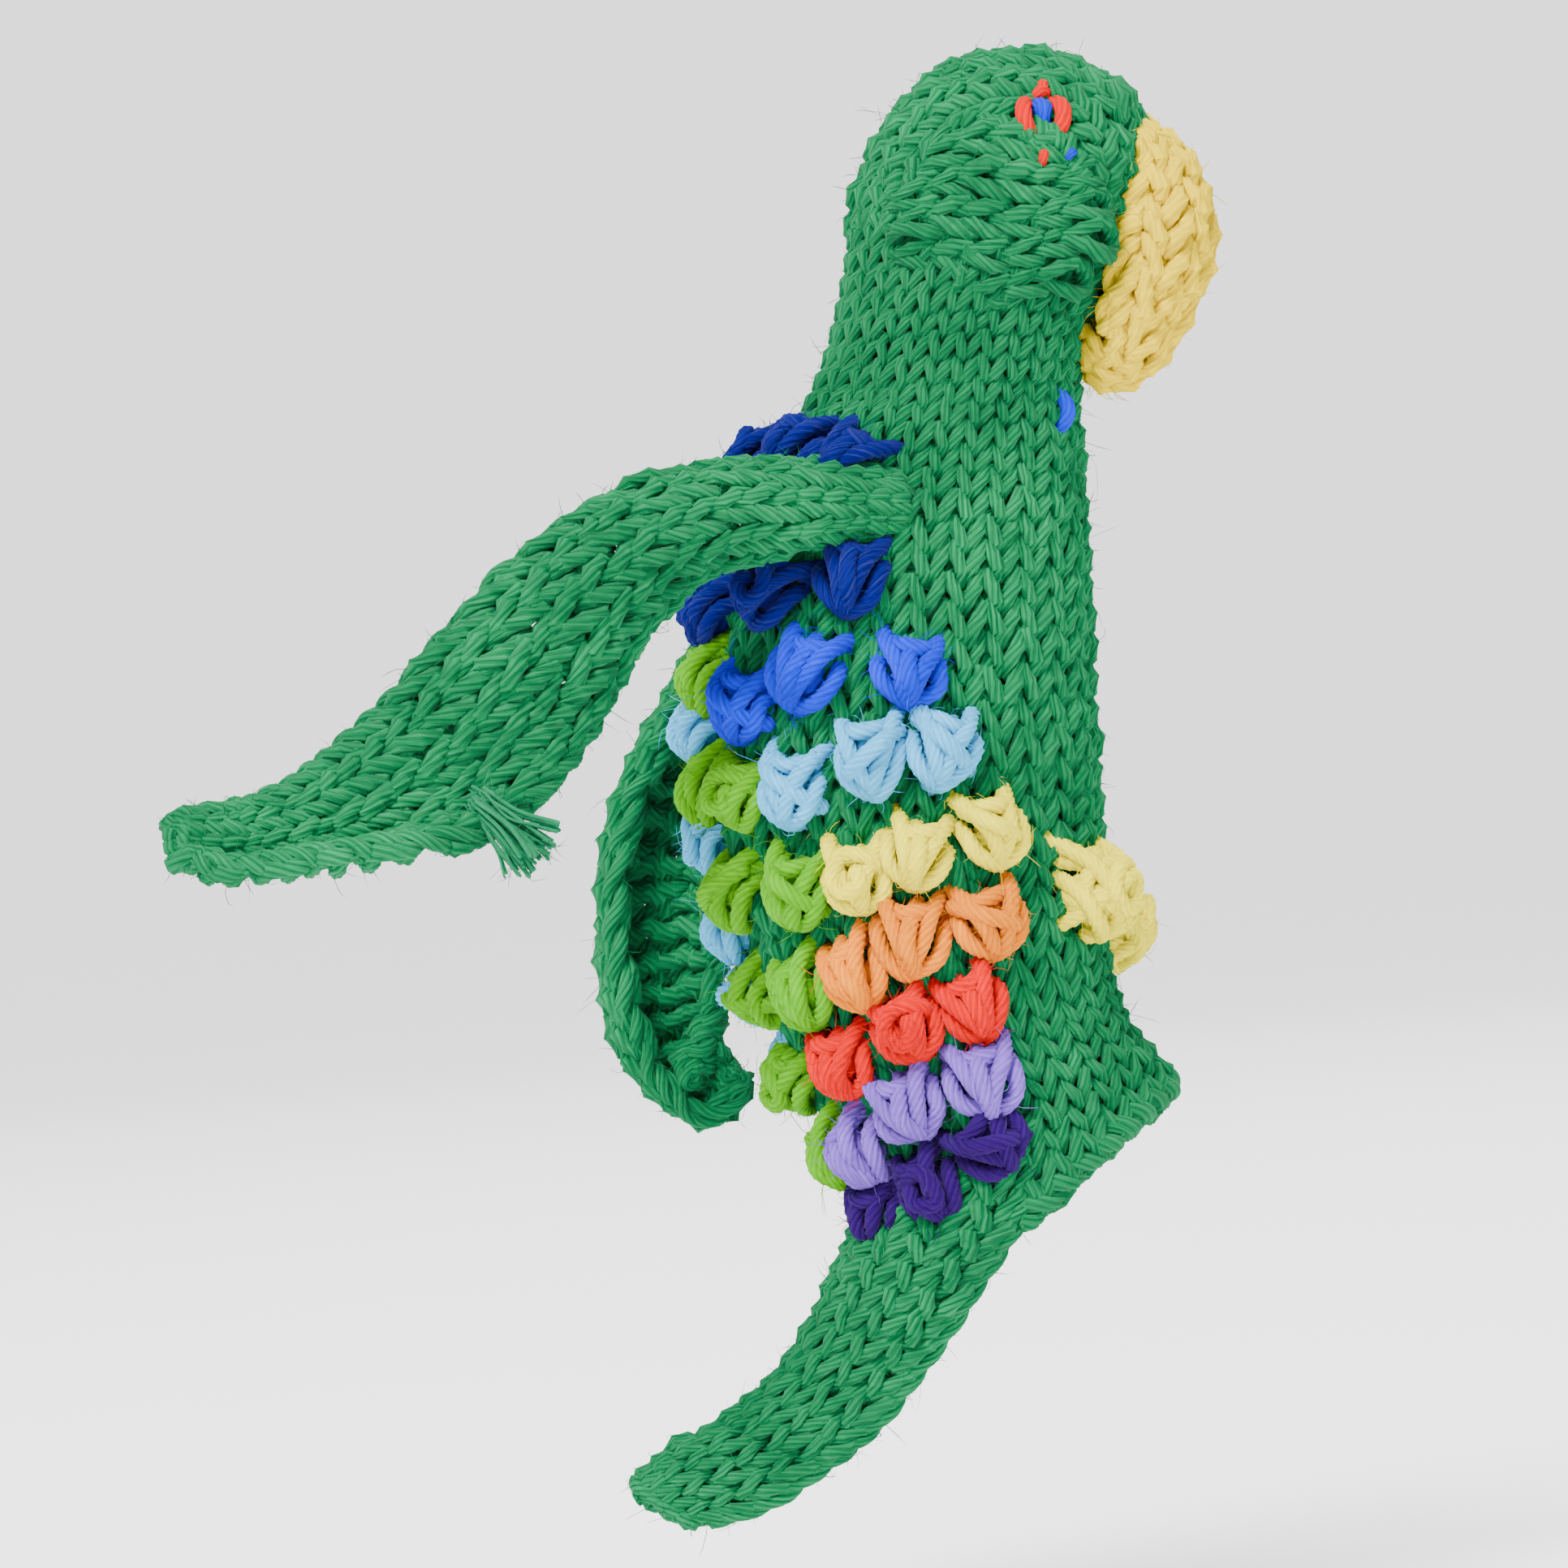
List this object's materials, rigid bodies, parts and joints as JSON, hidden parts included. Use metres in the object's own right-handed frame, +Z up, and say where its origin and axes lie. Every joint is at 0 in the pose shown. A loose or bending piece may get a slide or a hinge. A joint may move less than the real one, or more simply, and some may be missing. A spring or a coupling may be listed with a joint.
{
  "type": "finger puppet",
  "caption": "Small knitted parrot puppet worn on a fingertip, with bobble feathers down its back, two strip wings, a curved beak and a tail.",
  "frame": {"origin": "on the finger's axis, at the mouth of the round seat inside the trunk that grips the fingertip", "axes": "+X forwards, towards the beak; +Y to the bird's left; +Z up along the finger's axis, towards the head"},
  "size_m": [0.0808, 0.0509, 0.1077],
  "materials": {
    "green_yarn": "matt knitted cotton-like yarn, slightly fuzzy",
    "yellow_yarn": "matt knitted yarn",
    "pale_yellow_yarn": "matt knotted yarn",
    "navy_yarn": "matt knotted yarn",
    "royal_blue_yarn": "matt knotted yarn",
    "sky_blue_yarn": "matt knotted yarn",
    "lime_yarn": "matt knotted yarn",
    "orange_yarn": "matt knotted yarn",
    "red_yarn": "matt knotted yarn",
    "lilac_yarn": "matt knotted yarn",
    "purple_yarn": "matt knotted yarn",
    "stuffing": "loose off-white fibre"
  },
  "bodies": {
    "trunk": {"trunk_tube": "green_yarn", "rim_edging": "green_yarn", "shoulder_knot_right": "green_yarn", "shoulder_knot_left": "green_yarn", "throat_stitch_right": "royal_blue_yarn", "throat_stitch_left": "royal_blue_yarn", "foot_right": "pale_yellow_yarn", "foot_left": "pale_yellow_yarn", "feathers_purple_right": "purple_yarn", "feathers_purple_left": "purple_yarn", "feathers_lilac_right": "lilac_yarn", "feathers_lilac_left": "lilac_yarn", "feathers_red_right": "red_yarn", "feathers_red_left": "red_yarn", "feathers_orange_right": "orange_yarn", "feathers_orange_left": "orange_yarn", "feathers_pale_yellow_right": "pale_yellow_yarn", "feathers_pale_yellow_left": "pale_yellow_yarn", "feathers_sky_blue_right": "sky_blue_yarn", "feathers_sky_blue_left": "sky_blue_yarn", "feathers_royal_blue_right": "royal_blue_yarn", "feathers_royal_blue_left": "royal_blue_yarn", "feathers_navy_right": "navy_yarn", "feathers_navy_left": "navy_yarn", "feathers_navy_collar_right": "navy_yarn", "feathers_navy_collar_left": "navy_yarn", "feathers_lime_spine": "lime_yarn", "feathers_sky_blue_spine": "sky_blue_yarn"},
    "head": {"head_tube": "green_yarn", "head_stuffing": "stuffing", "beak": "yellow_yarn", "eye_ring_right": "red_yarn", "eye_ring_left": "red_yarn", "eye_pupil_right": "royal_blue_yarn", "eye_pupil_left": "royal_blue_yarn"},
    "right_wing": {"wing_right": "green_yarn", "wing_yarn_end": "green_yarn"},
    "left_wing": {"wing_left": "green_yarn"},
    "tail_strip": {"tail": "green_yarn"}
  },
  "joints": [
    {"name": "neck_nod", "type": "hinge", "parent": "trunk", "child": "head", "pos_m": [0.0003, 0, 0.0165], "axis": [0, 1, 0], "range_deg": [-18, 9]},
    {"name": "right_wing_swing", "type": "hinge", "parent": "trunk", "child": "right_wing", "pos_m": [-0.0055, -0.0121, 0.0079], "axis": [0, 1, 0], "range_deg": [-30, 25]},
    {"name": "left_wing_swing", "type": "hinge", "parent": "trunk", "child": "left_wing", "pos_m": [-0.0055, 0.0121, 0.0079], "axis": [0, 1, 0], "range_deg": [-10, 50]},
    {"name": "tail_lift", "type": "hinge", "parent": "trunk", "child": "tail_strip", "pos_m": [-0.0089, 0, -0.0505], "axis": [0, 1, 0], "range_deg": [-12, 25]}
  ]
}
